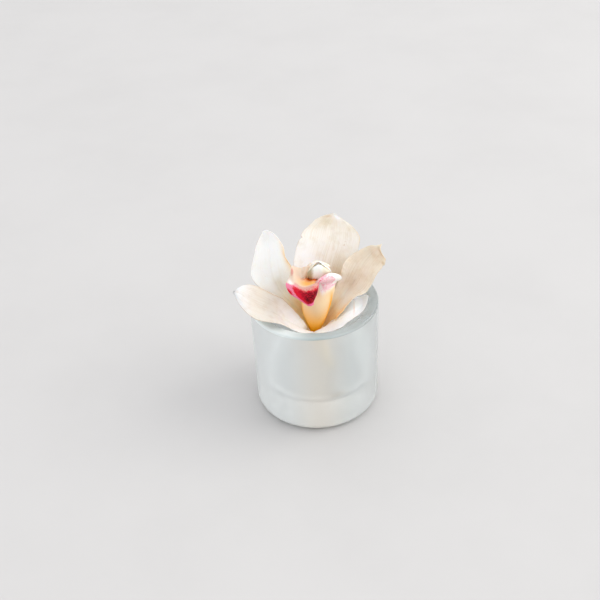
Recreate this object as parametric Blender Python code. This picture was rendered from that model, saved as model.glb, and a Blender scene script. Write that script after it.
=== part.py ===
"""A single cymbidium bloom standing in a small tumbler of thick frosted glass, with a little water in it.

The frame has its origin at the centre of the vase's flat base, with +Z up and the bloom's lip towards -Y.
Lengths are in metres; the driving dimensions are written in millimetres times MM.
"""

import math

import bmesh
import bpy
import numpy as np
from mathutils import Vector

MM = 0.001

# Vase: a turned tumbler with a solid base
VASE_RADIUS = 32.0 * MM
VASE_FOOT_RADIUS = 31.5 * MM
VASE_HEIGHT = 60.0 * MM
VASE_WALL = 5.0 * MM
VASE_BASE = 16.0 * MM
VASE_FOOT_ROUND = 5.5 * MM
VASE_FLOOR_ROUND = 5.0 * MM
VASE_RIM_ROUND = 1.2 * MM
VASE_SIDES = 48

VASE_FOOT_STEPS = 5
VASE_FLOOR_STEPS = 5
VASE_RIM_STEPS = 3

# Clearance between pieces that touch in the real object
CLEARANCE = 0.35 * MM

# Water: fills the cavity to its level, creeps up the glass, and has a plain hole where the stem stands
WATER_LEVEL = 22.0 * MM
WATER_CREEP = 0.8 * MM
WATER_CREEP_WIDTH = 1.5 * MM
WATER_FLOOR_STEPS = 4

# Stem: the stalk and the swollen ovary that carries the bloom
STEM_PATH = ((7.5, -2.0, 17.2), (5.6, -2.8, 24.0), (3.0, -3.7, 32.0), (0.7, -4.4, 38.5), (0.2, -4.5, 43.3))
STEM_RADII = (2.7, 3.0, 3.5, 4.2, 5.6)
STEM_SIDES = 16
STEM_RINGS = 11

# Tepals and lip: thickness of a blade, and how fine its grid is
BLADE_THICKNESS = 0.75 * MM
BLADE_ROWS = 16
BLADE_COLUMNS = 8
LIP_THICKNESS = 0.8 * MM
LIP_ROWS = 26
LIP_COLUMNS = 16

# Each blade is a list of stations from its claw to its tip, in millimetres.
# A station holds the left margin, the midrib and the right margin of the blade's inner face,
# as seen with its tip up. The blade's thickness lies behind that face.
DORSAL_SEPAL = (
    ((-1.3, 0.1, 44.3), (0.3, 0.2, 44.2), (1.9, -0.1, 44.3)),
    ((-5.0, 4.0, 53.0), (2.0, 5.0, 53.5), (8.0, 3.6, 53.0)),
    ((-8.4, 8.0, 62.0), (4.0, 10.5, 64.0), (14.5, 8.0, 62.5)),
    ((-9.5, 12.5, 72.0), (5.0, 15.5, 72.0), (20.5, 13.5, 71.5)),
    ((-6.0, 18.0, 84.0), (9.0, 21.0, 82.5), (24.0, 18.5, 80.5)),
    ((-1.5, 22.5, 89.0), (10.5, 24.0, 88.5), (22.0, 22.0, 86.0)),
    ((4.5, 24.5, 92.5), (11.5, 24.5, 91.5), (17.0, 24.5, 90.0)),
    ((10.5, 25.0, 94.0), (11.5, 25.0, 94.0), (12.5, 25.0, 93.5)),
)
LATERAL_SEPAL_LEFT = (
    ((-3.2, -8.2, 43.9), (-4.2, -6.6, 43.8), (-4.6, -5.0, 43.9)),
    ((-1.5, -13.0, 50.0), (-6.0, -12.0, 51.5), (-5.0, -10.0, 53.5)),
    ((-9.0, -18.5, 56.0), (-13.0, -11.0, 56.0), (-12.0, -4.0, 59.5)),
    ((-16.0, -24.0, 63.0), (-20.0, -12.0, 62.5), (-18.5, -3.0, 65.5)),
    ((-25.0, -23.0, 65.0), (-27.0, -12.0, 66.5), (-25.0, -2.0, 69.5)),
    ((-33.0, -18.5, 68.0), (-33.0, -12.0, 71.5), (-31.5, -5.0, 74.0)),
    ((-37.0, -14.0, 72.0), (-37.0, -12.0, 74.5), (-36.0, -9.5, 75.5)),
    ((-38.0, -12.5, 74.0), (-38.5, -12.0, 75.0), (-38.0, -11.5, 75.0)),
)
LATERAL_SEPAL_RIGHT = (
    ((4.9, -5.8, 44.1), (4.4, -7.2, 44.0), (3.3, -8.6, 44.1)),
    ((5.0, -9.5, 48.5), (2.5, -12.0, 50.5), (-0.5, -13.5, 50.0)),
    ((10.0, -1.0, 50.0), (7.5, -12.0, 53.0), (4.5, -16.0, 52.0)),
    ((15.0, 1.0, 53.5), (13.5, -10.0, 56.0), (12.0, -17.0, 56.0)),
    ((20.0, 2.0, 58.0), (19.5, -7.5, 57.5), (19.0, -14.5, 58.0)),
    ((23.0, 1.5, 59.5), (24.0, -4.0, 58.5), (24.0, -9.0, 59.0)),
    ((26.0, 0.0, 61.5), (26.5, -1.5, 62.0), (26.5, -3.0, 61.5)),
)
PETAL_LEFT = (
    ((-4.4, -3.2, 44.1), (-3.4, -1.8, 44.0), (-2.0, -0.8, 44.1)),
    ((-12.0, 0.0, 51.5), (-9.0, 1.8, 53.0), (-5.2, 1.4, 54.0)),
    ((-23.5, 4.0, 62.0), (-17.5, 7.0, 63.5), (-7.5, 2.5, 64.5)),
    ((-30.5, 8.0, 69.5), (-20.5, 11.0, 72.5), (-10.0, 6.0, 77.0)),
    ((-29.0, 12.0, 78.0), (-21.0, 15.0, 80.5), (-12.5, 8.5, 82.0)),
    ((-26.5, 15.5, 85.5), (-21.5, 17.5, 85.5), (-15.0, 12.0, 86.5)),
    ((-24.5, 17.0, 88.5), (-21.5, 17.5, 88.5), (-18.0, 15.5, 89.5)),
    ((-23.5, 17.5, 90.0), (-22.5, 17.5, 90.5), (-21.5, 17.0, 90.0)),
)
PETAL_RIGHT = (
    ((2.9, -1.0, 44.4), (4.1, -2.1, 44.3), (4.8, -3.4, 44.4)),
    ((6.5, 0.0, 52.5), (8.5, -1.0, 53.5), (8.5, -8.5, 56.5)),
    ((10.0, 3.0, 61.0), (13.5, 2.0, 58.5), (14.5, -8.0, 58.5)),
    ((12.5, 5.5, 66.5), (17.0, 4.5, 62.0), (19.5, -5.0, 63.0)),
    ((14.0, 7.0, 72.0), (20.5, 6.0, 66.0), (24.5, -3.5, 65.0)),
    ((18.5, 10.5, 77.5), (25.0, 9.5, 73.0), (30.5, 1.0, 71.0)),
    ((25.0, 12.5, 80.5), (29.0, 11.0, 77.5), (34.0, 3.5, 74.5)),
    ((30.5, 12.5, 82.5), (32.0, 10.0, 81.0), (35.5, 4.5, 76.5)),
    ((34.5, 10.5, 84.0), (33.5, 8.5, 81.5), (36.0, 5.5, 78.5)),
)
# The lip has two more guide curves, along the sides of its trough
LIP = (
    (
        (1.5, -7.3, 43.9), (0.8, -7.6, 43.9), (0.0, -7.7, 43.9),
        (-0.8, -7.6, 43.9), (-1.5, -7.3, 43.9),
    ),
    (
        (3.6, -5.6, 51.0), (3.4, -8.0, 50.5), (0.2, -9.6, 50.0),
        (-3.1, -8.0, 50.5), (-3.3, -5.6, 51.0),
    ),
    (
        (7.4, -3.4, 60.0), (6.4, -7.6, 59.0), (0.6, -10.8, 58.0),
        (-5.4, -6.6, 60.5), (-3.8, 1.6, 63.0),
    ),
    (
        (10.5, -3.0, 69.5), (7.0, -8.0, 69.5), (0.0, -10.0, 68.0),
        (-5.0, -2.5, 73.0), (1.0, 4.5, 78.5),
    ),
    (
        (12.5, -2.5, 72.5), (5.5, -8.0, 75.5), (-1.0, -4.5, 75.0),
        (-6.0, -4.0, 76.5), (-6.0, 2.0, 78.0),
    ),
    (
        (12.5, -4.0, 76.5), (6.0, -10.0, 78.0), (-3.0, -10.5, 76.0),
        (-8.0, -8.5, 78.0), (-10.5, -2.0, 81.0),
    ),
    (
        (8.0, -7.0, 79.5), (4.0, -11.5, 79.5), (-3.5, -13.5, 77.0),
        (-9.0, -11.5, 77.5), (-11.5, -6.0, 78.0),
    ),
    (
        (3.5, -11.0, 79.0), (0.5, -15.0, 79.0), (-4.0, -17.0, 77.5),
        (-9.5, -14.0, 77.0), (-13.0, -10.0, 76.0),
    ),
    (
        (2.5, -13.5, 77.5), (0.5, -17.0, 77.5), (-3.5, -19.0, 76.5),
        (-8.0, -17.5, 75.5), (-11.5, -14.0, 74.5),
    ),
    (
        (1.5, -16.5, 74.5), (0.0, -19.0, 74.5), (-2.5, -20.5, 74.0),
        (-5.5, -19.5, 73.5), (-8.0, -17.0, 73.0),
    ),
    (
        (0.0, -19.5, 72.5), (-1.0, -20.5, 72.0), (-2.0, -21.0, 72.0),
        (-3.0, -20.5, 71.5), (-4.5, -19.5, 71.5),
    ),
    (
        (-0.2, -20.4, 71.5), (-0.9, -20.8, 71.2), (-1.6, -21.0, 71.0),
        (-2.4, -20.8, 70.9), (-3.1, -20.4, 71.0),
    ),
)

# Wavy margins: height of the waves, how many run along a blade, and where they start, in radians
MARGIN_WAVE = 0.5 * MM
MARGIN_WAVES = 2.5
WAVE_STARTS = {
    "dorsal_sepal": 0.4,
    "lateral_sepal_left": 1.3,
    "lateral_sepal_right": 2.1,
    "petal_left": 0.9,
    "petal_right": 1.7,
    "lip": 0.5,
}

# Column: a fleshy club, round at its foot and broad and winged at its end
COLUMN_PATH = (
    (0.3, -4.2, 43.8),
    (0.6, -3.2, 53.0),
    (1.4, -1.0, 63.0),
    (2.5, 0.6, 73.0),
    (3.3, 0.2, 79.0),
    (3.0, -1.7, 82.4),
)
COLUMN_WIDTHS = (2.2, 2.1, 2.8, 4.4, 5.1, 3.2)
COLUMN_DEPTHS = (1.9, 1.8, 2.0, 2.3, 2.1, 1.2)
COLUMN_SIDES = 16
COLUMN_RINGS = 12

# Anther cap: a small domed cap in front of the column's end
ANTHER_CENTRE = (3.0, -4.6, 79.2)
ANTHER_RADII = (4.0, 1.7, 2.7)
ANTHER_SEGMENTS = 14
ANTHER_RINGS = 9


def material(name, colour, roughness, transmission=0.0):
    """A Principled material with the piece's plain colour."""
    made = bpy.data.materials.new(name)
    made.use_nodes = True
    shader = made.node_tree.nodes["Principled BSDF"]
    shader.inputs["Base Color"].default_value = (*colour, 1.0)
    shader.inputs["Roughness"].default_value = roughness
    shader.inputs["Metallic"].default_value = 0.0
    shader.inputs["Transmission Weight"].default_value = transmission
    return made


def add_piece(name, shape, finish, location=(0.0, 0.0, 0.0)):
    """Turn a bmesh into a named object with its finish, shaded smooth."""
    mesh = bpy.data.meshes.new(name)
    shape.to_mesh(mesh)
    shape.free()
    mesh.materials.append(finish)
    mesh.shade_smooth()
    piece = bpy.data.objects.new(name, mesh)
    piece.location = location
    bpy.context.scene.collection.objects.link(piece)
    return piece


def spline(knots, points, samples):
    """Natural cubic spline through points at their knots, read at the samples."""
    knots = np.asarray(knots, dtype=float)
    points = np.asarray(points, dtype=float)
    count = len(knots)
    steps = np.diff(knots)
    system = np.eye(count)
    bends = np.zeros_like(points)
    for i in range(1, count - 1):
        system[i, i - 1 : i + 2] = (steps[i - 1], 2.0 * (steps[i - 1] + steps[i]), steps[i])
        rise = (points[i + 1] - points[i]) / steps[i]
        run = (points[i] - points[i - 1]) / steps[i - 1]
        bends[i] = 6.0 * (rise - run)
    bends = np.linalg.solve(system, bends)
    samples = np.clip(np.asarray(samples, dtype=float), knots[0], knots[-1])
    span = np.clip(np.searchsorted(knots, samples, side="right") - 1, 0, count - 2)
    step = steps[span][:, None]
    after = (samples - knots[span])[:, None]
    before = step - after
    return (
        bends[span] * before**3 / (6.0 * step)
        + bends[span + 1] * after**3 / (6.0 * step)
        + (points[span] / step - bends[span] * step / 6.0) * before
        + (points[span + 1] / step - bends[span + 1] * step / 6.0) * after
    )


def chord_knots(points):
    """Knots from 0 to 1, spaced by the distance between the points."""
    lengths = np.linalg.norm(np.diff(np.asarray(points, dtype=float), axis=0), axis=1)
    knots = np.concatenate(([0.0], np.cumsum(lengths)))
    return knots / knots[-1]


def blade_points(stations, along, across):
    """Points of a blade's upper face, as rows from claw to tip and columns from margin to margin."""
    stations = np.asarray(stations, dtype=float) * MM
    guides = stations.shape[1]
    knots = chord_knots(stations[:, guides // 2])
    curves = np.stack([spline(knots, stations[:, i], along) for i in range(guides)], axis=1)
    guide_places = np.linspace(-1.0, 1.0, guides)
    return np.stack([spline(guide_places, curve, across) for curve in curves])


def add_blade(name, stations, finish, rows, columns, thickness):
    """A tepal: a grid laid on its guide curves, waved along its margins and given its thickness."""
    along = np.linspace(0.0, 1.0, rows + 1)
    across = np.linspace(-1.0, 1.0, columns + 1)
    points = blade_points(stations, along, across)
    shape = bmesh.new()
    bmesh.ops.create_grid(shape, x_segments=columns, y_segments=rows, size=1.0)
    places = {}
    for corner in shape.verts:
        row = round((corner.co.y + 1.0) / 2.0 * rows)
        column = round((corner.co.x + 1.0) / 2.0 * columns)
        places[corner] = (along[row], across[column])
        corner.co = Vector(points[row, column])
    shape.normal_update()
    for corner, (place_along, place_across) in places.items():
        start = math.copysign(WAVE_STARTS[name], place_across)
        swing = math.sin(2.0 * math.pi * MARGIN_WAVES * place_along + start)
        fade = place_across**4 * math.sin(math.pi * place_along)
        corner.co += corner.normal * MARGIN_WAVE * swing * fade
    bmesh.ops.triangulate(shape, faces=shape.faces[:], quad_method="SHORT_EDGE")
    blade = add_piece(name, shape, finish)
    wall = blade.modifiers.new("thickness", "SOLIDIFY")
    wall.thickness = thickness
    wall.offset = -1.0
    return blade


def arc(centre, radius, start, end, steps):
    """Points on an arc in the XZ plane, with its angles in degrees."""
    angles = np.radians(np.linspace(start, end, steps + 1))
    return [(centre[0] + radius * math.cos(a), centre[1] + radius * math.sin(a)) for a in angles]


def turned(profile, sides):
    """A closed shape turned about Z from a profile of (radius, height) points that starts and ends on it."""
    shape = bmesh.new()
    corners = [shape.verts.new((radius, 0.0, height)) for radius, height in profile]
    edges = [shape.edges.new(pair) for pair in zip(corners, corners[1:])]
    bmesh.ops.spin(
        shape,
        geom=corners + edges,
        cent=(0.0, 0.0, 0.0),
        axis=(0.0, 0.0, 1.0),
        angle=2.0 * math.pi,
        steps=sides,
        use_merge=True,
    )
    bmesh.ops.remove_doubles(shape, verts=shape.verts[:], dist=0.01 * MM)
    bmesh.ops.recalc_face_normals(shape, faces=shape.faces[:])
    return shape


def add_vase():
    """The tumbler, turned from the profile of its glass."""
    inner = VASE_RADIUS - VASE_WALL
    foot, rim, floor = VASE_FOOT_ROUND, VASE_RIM_ROUND, VASE_FLOOR_ROUND
    profile = [(0.0, 0.0)]
    profile += arc((VASE_FOOT_RADIUS - foot, foot), foot, -90.0, 0.0, VASE_FOOT_STEPS)
    profile += arc((VASE_RADIUS - rim, VASE_HEIGHT - rim), rim, 0.0, 90.0, VASE_RIM_STEPS)
    profile += arc((inner + rim, VASE_HEIGHT - rim), rim, 90.0, 180.0, VASE_RIM_STEPS)
    profile += arc((inner - floor, VASE_BASE + floor), floor, 0.0, -90.0, VASE_FLOOR_STEPS)
    profile += [(0.0, VASE_BASE)]
    glass = material("frosted_glass", (0.80, 0.85, 0.85), 0.5, 0.8)
    return add_piece("vase", turned(profile, VASE_SIDES), glass)


def add_water(clear):
    """The water, clear of the glass, with the stem's hole cut through it."""
    inner = VASE_RADIUS - VASE_WALL
    floor = VASE_FLOOR_ROUND
    side = inner - CLEARANCE
    profile = [(0.0, VASE_BASE + CLEARANCE)]
    profile += arc((inner - floor, VASE_BASE + floor), floor - CLEARANCE, -90.0, 0.0, WATER_FLOOR_STEPS)
    profile += [(side, WATER_LEVEL + WATER_CREEP), (side - WATER_CREEP_WIDTH, WATER_LEVEL)]
    profile += [(0.0, WATER_LEVEL)]
    water = add_piece("water", turned(profile, VASE_SIDES), clear)
    hole = add_tube("stem_hole", STEM_PATH, STEM_RADII, STEM_RADII, STEM_SIDES, STEM_RINGS, None, CLEARANCE)
    hole.hide_render = True
    hole.display_type = "WIRE"
    cut = water.modifiers.new("stem_hole", "BOOLEAN")
    cut.operation = "DIFFERENCE"
    cut.solver = "EXACT"
    cut.object = hole
    return water


def add_tube(name, path, widths, depths, sides, rings, finish, grow=0.0):
    """A closed tube of oval section along a smooth path; grow adds to its radius and its two ends."""
    path = np.asarray(path, dtype=float) * MM
    knots = chord_knots(path)
    places = np.linspace(0.0, 1.0, rings)
    centres = spline(knots, path, places)
    halves = spline(knots, np.stack([widths, depths], axis=1) * MM, places) + grow
    tangents = np.gradient(centres, axis=0)
    centres[0] -= tangents[0] / np.linalg.norm(tangents[0]) * grow
    centres[-1] += tangents[-1] / np.linalg.norm(tangents[-1]) * grow
    shape = bmesh.new()
    loops = []
    for centre, half, tangent in zip(centres, halves, tangents):
        turn = Vector(tangent).to_track_quat("Z", "Y").to_matrix().to_4x4()
        turn.translation = Vector(centre)
        ring = bmesh.ops.create_circle(shape, cap_ends=False, radius=1.0, segments=sides)["verts"]
        for corner in ring:
            corner.co.x *= half[0]
            corner.co.y *= half[1]
        bmesh.ops.transform(shape, matrix=turn, verts=ring)
        edges = {edge for corner in ring for edge in corner.link_edges}
        loops.append(sorted(edges, key=lambda edge: edge.index))
    for lower, upper in zip(loops, loops[1:]):
        bmesh.ops.bridge_loops(shape, edges=lower + upper)
    bmesh.ops.contextual_create(shape, geom=loops[0])
    bmesh.ops.contextual_create(shape, geom=loops[-1])
    bmesh.ops.recalc_face_normals(shape, faces=shape.faces[:])
    return add_piece(name, shape, finish)


def add_anther(finish):
    """The anther cap, a small oval dome."""
    shape = bmesh.new()
    bmesh.ops.create_uvsphere(shape, u_segments=ANTHER_SEGMENTS, v_segments=ANTHER_RINGS, radius=1.0)
    for corner in shape.verts:
        corner.co = Vector([reach * MM * part for reach, part in zip(ANTHER_RADII, corner.co)])
    return add_piece("anther_cap", shape, finish, [part * MM for part in ANTHER_CENTRE])


def main():
    """Build every piece of the object."""
    for old in list(bpy.data.objects):
        bpy.data.objects.remove(old, do_unlink=True)
    sepal = material("sepal_cream", (0.90, 0.84, 0.76), 0.5)
    petal = material("petal_cream", (0.92, 0.88, 0.80), 0.5)
    blades = (
        ("dorsal_sepal", DORSAL_SEPAL, sepal),
        ("lateral_sepal_left", LATERAL_SEPAL_LEFT, sepal),
        ("lateral_sepal_right", LATERAL_SEPAL_RIGHT, sepal),
        ("petal_left", PETAL_LEFT, petal),
        ("petal_right", PETAL_RIGHT, petal),
    )
    for name, stations, finish in blades:
        add_blade(name, stations, finish, BLADE_ROWS, BLADE_COLUMNS, BLADE_THICKNESS)
    crimson = material("lip_crimson", (0.75, 0.25, 0.30), 0.45)
    add_blade("lip", LIP, crimson, LIP_ROWS, LIP_COLUMNS, LIP_THICKNESS)
    cream = material("column_cream", (0.90, 0.85, 0.70), 0.45)
    add_tube("column", COLUMN_PATH, COLUMN_WIDTHS, COLUMN_DEPTHS, COLUMN_SIDES, COLUMN_RINGS, cream)
    add_anther(material("anther_white", (0.93, 0.90, 0.85), 0.4))
    green = material("stem_green", (0.55, 0.60, 0.30), 0.5)
    add_tube("stem", STEM_PATH, STEM_RADII, STEM_RADII, STEM_SIDES, STEM_RINGS, green)
    add_vase()
    add_water(material("water", (0.90, 0.95, 0.95), 0.05, 1.0))


main()
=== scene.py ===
"""The looks of a cymbidium bloom that stands in a small tumbler of frosted glass with a little water.

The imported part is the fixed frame. Each piece here is the finer twin of one of its nodes, in the same place
and of nearly the same form, and wears its own procedural finish. Lengths are in metres, written in
millimetres times MM. A blade is laid on guide curves whose points are in millimetres. Its places run along
it from 0 at the claw to 1 at the tip, and across it from -1 at one margin to 1 at the other.
"""

import logging
import math
from collections.abc import Sequence
from dataclasses import dataclass
from enum import Enum

import bmesh
import bpy
import numpy as np
from mathutils import Matrix, Vector, noise


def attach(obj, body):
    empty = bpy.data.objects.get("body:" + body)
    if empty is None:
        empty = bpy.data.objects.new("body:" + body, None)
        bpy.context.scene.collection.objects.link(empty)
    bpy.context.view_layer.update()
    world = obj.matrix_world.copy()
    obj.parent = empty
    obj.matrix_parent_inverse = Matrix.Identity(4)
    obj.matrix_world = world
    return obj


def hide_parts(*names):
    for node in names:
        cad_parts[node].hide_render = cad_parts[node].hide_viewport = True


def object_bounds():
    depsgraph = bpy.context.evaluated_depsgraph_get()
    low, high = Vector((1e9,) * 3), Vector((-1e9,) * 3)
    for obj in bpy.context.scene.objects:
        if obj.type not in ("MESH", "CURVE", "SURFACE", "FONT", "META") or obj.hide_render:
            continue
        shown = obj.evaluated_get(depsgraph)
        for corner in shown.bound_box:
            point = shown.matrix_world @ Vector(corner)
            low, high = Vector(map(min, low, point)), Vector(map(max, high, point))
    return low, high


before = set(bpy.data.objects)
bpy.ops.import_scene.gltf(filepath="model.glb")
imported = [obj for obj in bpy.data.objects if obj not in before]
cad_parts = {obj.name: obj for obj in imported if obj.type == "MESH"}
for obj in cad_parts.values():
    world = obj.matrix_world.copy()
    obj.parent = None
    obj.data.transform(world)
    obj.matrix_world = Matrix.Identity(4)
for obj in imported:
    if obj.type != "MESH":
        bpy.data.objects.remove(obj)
CAD_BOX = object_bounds()

MM = 0.001
BODY = "root"
LOG = logging.getLogger("orchid")

Socket = bpy.types.NodeSocket
Span = tuple[float, float]
Point = tuple[float, float, float]
Stations = tuple[tuple[Point, ...], ...]
Colour = tuple[float, float, float]
Source = Socket | float | Sequence[float]

# Guide points of each blade, from claw to tip: left margin, midrib and right margin of its inner face
DORSAL_SEPAL = (
    ((-1.3, 0.1, 44.3), (0.3, 0.2, 44.2), (1.9, -0.1, 44.3)),
    ((-5.0, 4.0, 53.0), (2.0, 5.0, 53.5), (8.0, 3.6, 53.0)),
    ((-8.4, 8.0, 62.0), (4.0, 10.5, 64.0), (14.5, 8.0, 62.5)),
    ((-9.5, 12.5, 72.0), (5.0, 15.5, 72.0), (20.5, 13.5, 71.5)),
    ((-6.0, 18.0, 84.0), (9.0, 21.0, 82.5), (24.0, 18.5, 80.5)),
    ((-1.5, 22.5, 89.0), (10.5, 24.0, 88.5), (22.0, 22.0, 86.0)),
    ((4.5, 24.5, 92.5), (11.5, 24.5, 91.5), (17.0, 24.5, 90.0)),
    ((10.5, 25.0, 94.0), (11.5, 25.0, 94.0), (12.5, 25.0, 93.5)),
)
LATERAL_SEPAL_LEFT = (
    ((-3.2, -8.2, 43.9), (-4.2, -6.6, 43.8), (-4.6, -5.0, 43.9)),
    ((-1.5, -13.0, 50.0), (-6.0, -12.0, 51.5), (-5.0, -10.0, 53.5)),
    ((-9.0, -18.5, 56.0), (-13.0, -11.0, 56.0), (-12.0, -4.0, 59.5)),
    ((-16.0, -24.0, 63.0), (-20.0, -12.0, 62.5), (-18.5, -3.0, 65.5)),
    ((-25.0, -23.0, 65.0), (-27.0, -12.0, 66.5), (-25.0, -2.0, 69.5)),
    ((-33.0, -18.5, 68.0), (-33.0, -12.0, 71.5), (-31.5, -5.0, 74.0)),
    ((-37.0, -14.0, 72.0), (-37.0, -12.0, 74.5), (-36.0, -9.5, 75.5)),
    ((-38.0, -12.5, 74.0), (-38.5, -12.0, 75.0), (-38.0, -11.5, 75.0)),
)
LATERAL_SEPAL_RIGHT = (
    ((4.9, -5.8, 44.1), (4.4, -7.2, 44.0), (3.3, -8.6, 44.1)),
    ((5.0, -9.5, 48.5), (2.5, -12.0, 50.5), (-0.5, -13.5, 50.0)),
    ((10.0, -1.0, 50.0), (7.5, -12.0, 53.0), (4.5, -16.0, 52.0)),
    ((15.0, 1.0, 53.5), (13.5, -10.0, 56.0), (12.0, -17.0, 56.0)),
    ((20.0, 2.0, 58.0), (19.5, -7.5, 57.5), (19.0, -14.5, 58.0)),
    ((23.0, 1.5, 59.5), (24.0, -4.0, 58.5), (24.0, -9.0, 59.0)),
    ((26.0, 0.0, 61.5), (26.5, -1.5, 62.0), (26.5, -3.0, 61.5)),
)
PETAL_LEFT = (
    ((-4.4, -3.2, 44.1), (-3.4, -1.8, 44.0), (-2.0, -0.8, 44.1)),
    ((-12.0, 0.0, 51.5), (-9.0, 1.8, 53.0), (-5.2, 1.4, 54.0)),
    ((-23.5, 4.0, 62.0), (-17.5, 7.0, 63.5), (-7.5, 2.5, 64.5)),
    ((-30.5, 8.0, 69.5), (-20.5, 11.0, 72.5), (-10.0, 6.0, 77.0)),
    ((-29.0, 12.0, 78.0), (-21.0, 15.0, 80.5), (-12.5, 8.5, 82.0)),
    ((-26.5, 15.5, 85.5), (-21.5, 17.5, 85.5), (-15.0, 12.0, 86.5)),
    ((-24.5, 17.0, 88.5), (-21.5, 17.5, 88.5), (-18.0, 15.5, 89.3)),
    ((-24.0, 17.3, 89.9), (-22.2, 17.5, 90.4), (-20.4, 16.7, 90.3)),
)
PETAL_RIGHT = (
    ((2.9, -1.0, 44.4), (4.1, -2.1, 44.3), (4.8, -3.4, 44.4)),
    ((6.5, 0.0, 52.5), (8.5, -1.0, 53.5), (8.5, -8.5, 56.5)),
    ((10.0, 3.0, 61.0), (13.5, 2.0, 58.5), (14.5, -8.0, 58.5)),
    ((12.5, 5.5, 66.5), (17.0, 4.5, 62.0), (19.5, -5.0, 63.0)),
    ((14.0, 7.0, 72.0), (20.5, 6.0, 66.0), (24.5, -3.5, 65.0)),
    ((18.5, 10.5, 77.5), (25.0, 9.5, 73.0), (30.5, 1.0, 71.0)),
    ((25.0, 12.5, 80.5), (29.0, 11.0, 77.5), (34.0, 3.5, 74.5)),
    ((30.5, 12.5, 82.5), (32.0, 10.0, 81.0), (35.5, 4.5, 76.5)),
    ((34.5, 10.5, 84.0), (33.5, 8.5, 81.5), (36.0, 5.5, 78.5)),
)
# The lip has two more guide curves, along the sides of its trough
LIP = (
    ((1.5, -7.3, 43.9), (0.8, -7.6, 43.9), (0.0, -7.7, 43.9), (-0.8, -7.6, 43.9), (-1.5, -7.3, 43.9)),
    ((3.6, -5.6, 51.0), (3.4, -8.0, 50.5), (0.2, -9.6, 50.0), (-3.1, -8.0, 50.5), (-3.3, -5.6, 51.0)),
    ((7.4, -3.4, 60.0), (6.4, -7.6, 59.0), (0.6, -10.8, 58.0), (-5.4, -6.6, 60.5), (-2.8, 2.0, 63.0)),
    ((10.5, -3.0, 69.5), (7.0, -8.0, 69.5), (0.0, -10.0, 68.0), (-4.4, -4.6, 75.0), (0.0, 3.6, 78.5)),
    ((12.5, -2.5, 72.5), (5.5, -8.0, 75.5), (-1.0, -4.5, 75.0), (-6.0, -4.0, 76.5), (-6.0, 2.0, 78.0)),
    ((12.5, -4.0, 76.5), (6.0, -10.0, 78.0), (-3.0, -10.5, 76.0), (-8.0, -8.5, 78.0), (-10.5, -2.0, 81.0)),
    ((8.0, -7.0, 79.5), (4.0, -11.5, 79.5), (-3.5, -13.5, 77.0), (-9.0, -11.5, 77.5), (-11.5, -6.0, 78.0)),
    ((3.5, -11.0, 79.0), (0.5, -15.0, 79.0), (-4.0, -17.0, 77.5), (-9.5, -14.0, 77.0), (-13.0, -10.0, 76.0)),
    ((2.5, -13.5, 77.5), (0.5, -17.0, 77.5), (-3.5, -19.0, 76.5), (-8.0, -17.5, 75.5), (-11.5, -14.0, 74.5)),
    ((1.5, -16.5, 74.5), (0.0, -19.0, 74.5), (-2.5, -20.5, 74.0), (-5.5, -19.5, 73.5), (-8.0, -17.0, 73.0)),
    ((0.0, -19.5, 72.5), (-1.0, -20.5, 72.0), (-2.0, -21.0, 72.0), (-3.0, -20.5, 71.5), (-4.5, -19.5, 71.5)),
    ((-0.2, -20.4, 71.5), (-0.9, -20.8, 71.2), (-1.6, -21.0, 71.0), (-2.4, -20.8, 70.9), (-3.1, -20.4, 71.0)),
)

# The column's hood: its edge on the column, its middle and its free front edge, each from left to right
HOOD = (
    (
        (-0.9, -1.2, 76.2), (-0.9, -0.8, 79.0), (0.0, -0.6, 80.8), (1.3, -0.8, 81.8), (2.8, -0.8, 82.2),
        (4.4, -0.8, 81.8), (6.0, -0.6, 80.8), (7.4, -0.3, 79.4), (8.0, 0.0, 78.0),
    ),
    (
        (-2.4, -2.8, 76.2), (-1.8, -2.6, 79.1), (-0.2, -2.4, 81.3), (1.3, -2.2, 82.5), (2.8, -2.0, 83.3),
        (4.4, -2.1, 82.5), (6.1, -2.2, 81.2), (7.6, -2.3, 79.7), (8.6, -2.3, 78.1),
    ),
    (
        (-2.6, -5.4, 76.4), (-1.7, -5.0, 79.1), (0.0, -4.4, 81.5), (1.3, -3.9, 82.9), (2.8, -3.4, 84.1),
        (4.4, -3.4, 83.0), (6.0, -3.8, 81.4), (7.6, -4.2, 79.8), (8.8, -4.5, 78.2),
    ),
)
STEM_PATH = ((7.5, -2.0, 17.2), (5.6, -2.8, 24.0), (3.0, -3.7, 32.0), (0.7, -4.4, 38.5), (0.2, -4.5, 43.3))
STEM_RADII = (2.7, 3.0, 3.5, 4.2, 5.6)
COLUMN_PATH = (
    (0.3, -4.2, 43.8), (0.6, -3.2, 53.0), (1.4, -1.0, 63.0), (2.5, 0.6, 73.0), (3.3, 0.2, 79.0),
    (3.0, -1.7, 82.4),
)
COLUMN_WIDTHS = (2.2, 2.1, 2.9, 5.0, 5.3, 3.2)
COLUMN_DEPTHS = (1.9, 1.8, 2.0, 2.3, 2.1, 1.2)

# Kinds of random relief on a blade: bumps along it, bumps across half of it, and a shift of its seed
RIDGES = (2.0, 22.0, 0.0)
PAPILLAE = (60.0, 30.0, 2.0)
WRINKLES = (5.0, 3.0, 7.0)
CRISPING = (26.0, 1.5, 13.0)
FRAYING = (34.0, 0.6, 21.0)

# Soft spots of colour on the lip: places along and across it, reaches along and across it, and strength
LIP_SPOTS = {
    "fold": (0.725, 0.86, 0.036, 0.13, 1.0),
    "knob": (0.882, 0.93, 0.020, 0.16, 1.0),
    "strip": (0.558, -0.31, 0.06, 0.05, 0.8),
    "wing": (0.800, 0.76, 0.022, 0.22, 1.0),
    "hot": (0.80, -0.50, 0.018, 0.08, 0.5),
    "crescent": (0.636, -0.10, 0.030, 0.36, 1.4),
    "throat": (0.700, -0.02, 0.055, 0.36, 0.75),
}

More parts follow.
